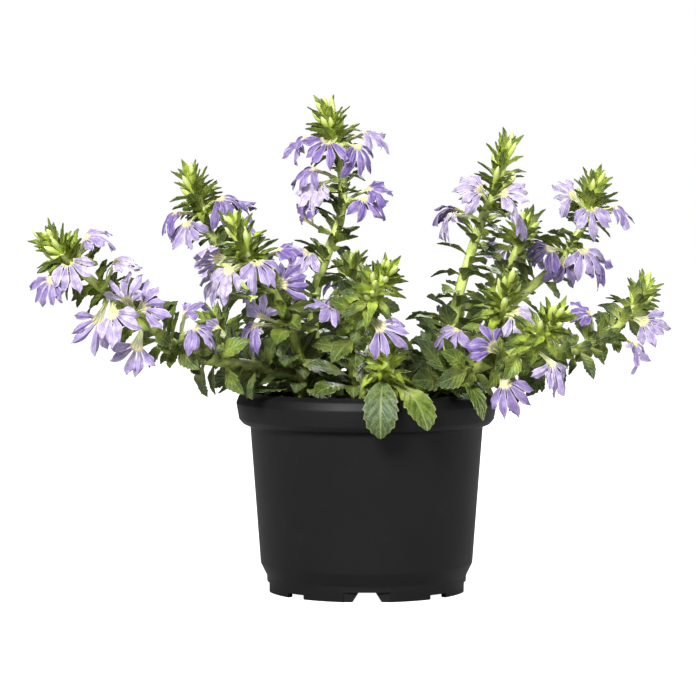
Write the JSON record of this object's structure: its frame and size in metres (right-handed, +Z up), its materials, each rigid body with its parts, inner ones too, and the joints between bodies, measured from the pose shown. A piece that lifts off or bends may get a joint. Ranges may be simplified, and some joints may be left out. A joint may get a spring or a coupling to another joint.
{
  "type": "potted flowering plant",
  "caption": "Fan flower with trailing leafy stems and one-sided lilac blooms, growing in a round black nursery pot.",
  "frame": {"origin": "on the ground under the pot's axis", "axes": "+Z up, -Y towards the front that the picture shows, +X to the right of that view along the plant's widest spread"},
  "size_m": [0.3152, 0.225, 0.2477],
  "materials": {
    "pot_plastic": "satin",
    "potting_soil": "matte",
    "foliage": "satin",
    "petals": "matte"
  },
  "bodies": {
    "root": {"bloom_back_left_1": "petals", "bloom_back_left_2": "petals", "bloom_back_left_3": "petals", "bloom_front_left_1": "petals", "bloom_front_left_2": "petals", "bloom_front_left_3": "petals", "bloom_front_left_4": "petals", "bloom_front_left_5": "petals", "bloom_front_middle_1": "petals", "bloom_front_middle_2": "petals", "bloom_front_right_1": "petals", "bloom_front_right_2": "petals", "bloom_front_right_3": "petals", "bloom_low_left_1": "petals", "bloom_rear_left_1": "petals", "bloom_rear_middle_1": "petals", "bloom_rear_right_1": "petals", "bloom_right_back_1": "petals", "bloom_right_back_2": "petals", "bloom_right_back_3": "petals", "bloom_right_back_4": "petals", "bloom_short_right_1": "petals", "bloom_short_right_2": "petals", "bloom_tall_middle_1": "petals", "bloom_tall_middle_2": "petals", "bloom_tall_middle_3": "petals", "bloom_tall_middle_4": "petals", "bloom_tall_middle_5": "petals", "bloom_tall_middle_6": "petals", "bloom_tall_right_1": "petals", "bloom_tall_right_2": "petals", "bloom_tall_right_3": "petals", "bloom_trailing_left_1": "petals", "bloom_trailing_left_2": "petals", "bloom_trailing_left_3": "petals", "bloom_trailing_left_4": "petals", "bloom_trailing_left_5": "petals", "bloom_trailing_left_6": "petals", "bloom_trailing_left_7": "petals", "bloom_trailing_right_1": "petals", "bloom_trailing_right_2": "petals", "bloom_trailing_right_3": "petals", "pot": "pot_plastic", "soil": "potting_soil", "stem_back_left": "foliage", "stem_front_left": "foliage", "stem_front_middle": "foliage", "stem_front_right": "foliage", "stem_low_left": "foliage", "stem_rear_left": "foliage", "stem_rear_middle": "foliage", "stem_rear_right": "foliage", "stem_right_back": "foliage", "stem_short_right": "foliage", "stem_tall_middle": "foliage", "stem_tall_right": "foliage", "stem_trailing_left": "foliage", "stem_trailing_right": "foliage", "stem_young_front": "foliage"}
  },
  "joints": []
}
